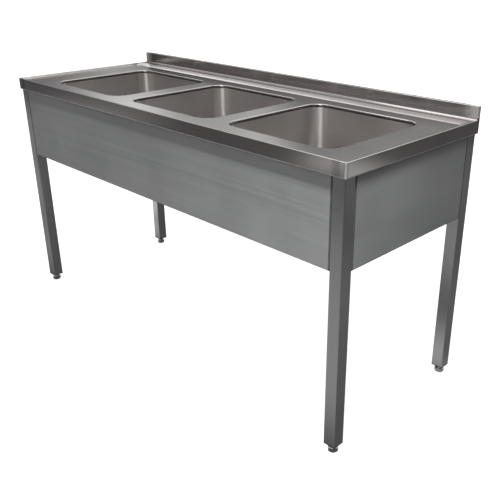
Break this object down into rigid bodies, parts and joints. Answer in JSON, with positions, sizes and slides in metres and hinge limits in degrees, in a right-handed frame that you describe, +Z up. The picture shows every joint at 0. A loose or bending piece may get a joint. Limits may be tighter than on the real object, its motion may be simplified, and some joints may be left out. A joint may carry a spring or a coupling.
{
  "type": "three compartment sink",
  "caption": "Stainless steel catering sink: a long worktop with a row of square bowls, a low rear upstand, folded skirts, square tube legs and adjustable feet.",
  "frame": {"origin": "centre of the footprint, on the floor", "axes": "+X along the length, to the right as seen from the front; +Y to the back, where the upstand is; +Z up"},
  "size_m": [1.6, 0.6, 0.89],
  "materials": {
    "worktop_steel": "satin brushed stainless, grain along the length, polished corner seams",
    "bowl_steel": "satin pressed stainless",
    "skirt_steel": "satin stainless sheet with a fine grain along its length",
    "leg_steel": "satin stainless tube with a fine grain along its length",
    "frame_steel": "dull mill finish stainless sheet",
    "foot_steel": "turned bright steel",
    "drain_steel": "polished stainless",
    "fastener_steel": "zinc plated",
    "plug_plastic": "black moulded polyamide",
    "drain_plastic": "white moulded polypropylene",
    "rubber": "black moulded rubber",
    "fibre": "pressed fibre"
  },
  "bodies": {
    "sink": {"worktop": "worktop_steel", "bowl_left": "bowl_steel", "strainer_body_left": "drain_steel", "strainer_gasket_left": "rubber", "strainer_locknut_left": "drain_plastic", "slip_nut_left": "drain_plastic", "tailpiece_left": "drain_plastic", "bowl_centre": "bowl_steel", "strainer_body_centre": "drain_steel", "strainer_gasket_centre": "rubber", "strainer_locknut_centre": "drain_plastic", "slip_nut_centre": "drain_plastic", "tailpiece_centre": "drain_plastic", "bowl_right": "bowl_steel", "strainer_body_right": "drain_steel", "strainer_gasket_right": "rubber", "strainer_locknut_right": "drain_plastic", "slip_nut_right": "drain_plastic", "tailpiece_right": "drain_plastic", "strainer_washers": "fibre", "leg_front_left": "leg_steel", "leg_plug_front_left": "plug_plastic", "corner_bracket_front_left": "frame_steel", "leg_front_right": "leg_steel", "leg_plug_front_right": "plug_plastic", "corner_bracket_front_right": "frame_steel", "leg_rear_left": "leg_steel", "leg_plug_rear_left": "plug_plastic", "corner_bracket_rear_left": "frame_steel", "leg_rear_right": "leg_steel", "leg_plug_rear_right": "plug_plastic", "corner_bracket_rear_right": "frame_steel", "leg_insert_nuts": "fastener_steel", "skirt_front": "skirt_steel", "skirt_left": "skirt_steel", "skirt_right": "skirt_steel", "rear_rail": "frame_steel", "deck_stiffener_left": "frame_steel", "deck_stiffener_centre_left": "frame_steel", "deck_stiffener_centre_right": "frame_steel", "deck_stiffener_right": "frame_steel", "panel_screws": "fastener_steel", "bracket_studs": "fastener_steel", "bracket_nuts": "fastener_steel"},
    "stud_front_left": {"foot_stud_front_left": "foot_steel"},
    "foot_front_left": {"foot_pad_front_left": "foot_steel"},
    "stud_front_right": {"foot_stud_front_right": "foot_steel"},
    "foot_front_right": {"foot_pad_front_right": "foot_steel"},
    "stud_rear_left": {"foot_stud_rear_left": "foot_steel"},
    "foot_rear_left": {"foot_pad_rear_left": "foot_steel"},
    "stud_rear_right": {"foot_stud_rear_right": "foot_steel"},
    "foot_rear_right": {"foot_pad_rear_right": "foot_steel"},
    "basket_left": {"basket_cup_left": "drain_steel", "basket_stopper_left": "rubber"},
    "basket_centre": {"basket_cup_centre": "drain_steel", "basket_stopper_centre": "rubber"},
    "basket_right": {"basket_cup_right": "drain_steel", "basket_stopper_right": "rubber"}
  },
  "joints": [
    {"name": "foot_travel_front_left", "type": "slide", "parent": "sink", "child": "stud_front_left", "axis": [0, 0, -1], "range_m": [0, 0.0245]},
    {"name": "foot_turn_front_left", "type": "hinge", "parent": "stud_front_left", "child": "foot_front_left", "pos_m": [-0.774, -0.274, 0.013], "axis": [0, 0, -1], "range_deg": [0, 5040]},
    {"name": "foot_travel_front_right", "type": "slide", "parent": "sink", "child": "stud_front_right", "axis": [0, 0, -1], "range_m": [0, 0.0245]},
    {"name": "foot_turn_front_right", "type": "hinge", "parent": "stud_front_right", "child": "foot_front_right", "pos_m": [0.774, -0.274, 0.013], "axis": [0, 0, -1], "range_deg": [0, 5040]},
    {"name": "foot_travel_rear_left", "type": "slide", "parent": "sink", "child": "stud_rear_left", "axis": [0, 0, -1], "range_m": [0, 0.0245]},
    {"name": "foot_turn_rear_left", "type": "hinge", "parent": "stud_rear_left", "child": "foot_rear_left", "pos_m": [-0.774, 0.277, 0.013], "axis": [0, 0, -1], "range_deg": [0, 5040]},
    {"name": "foot_travel_rear_right", "type": "slide", "parent": "sink", "child": "stud_rear_right", "axis": [0, 0, -1], "range_m": [0, 0.0245]},
    {"name": "foot_turn_rear_right", "type": "hinge", "parent": "stud_rear_right", "child": "foot_rear_right", "pos_m": [0.774, 0.277, 0.013], "axis": [0, 0, -1], "range_deg": [0, 5040]},
    {"name": "basket_lift_left", "type": "slide", "parent": "sink", "child": "basket_left", "axis": [0, 0, 1], "range_m": [0, 0.36]},
    {"name": "basket_lift_centre", "type": "slide", "parent": "sink", "child": "basket_centre", "axis": [0, 0, 1], "range_m": [0, 0.36]},
    {"name": "basket_lift_right", "type": "slide", "parent": "sink", "child": "basket_right", "axis": [0, 0, 1], "range_m": [0, 0.36]}
  ],
  "couplings": [
    {"joint": "foot_travel_front_left", "follows": "foot_turn_front_left", "m_per_rad": 0.00027852},
    {"joint": "foot_travel_front_right", "follows": "foot_turn_front_right", "m_per_rad": 0.00027852},
    {"joint": "foot_travel_rear_left", "follows": "foot_turn_rear_left", "m_per_rad": 0.00027852},
    {"joint": "foot_travel_rear_right", "follows": "foot_turn_rear_right", "m_per_rad": 0.00027852}
  ]
}
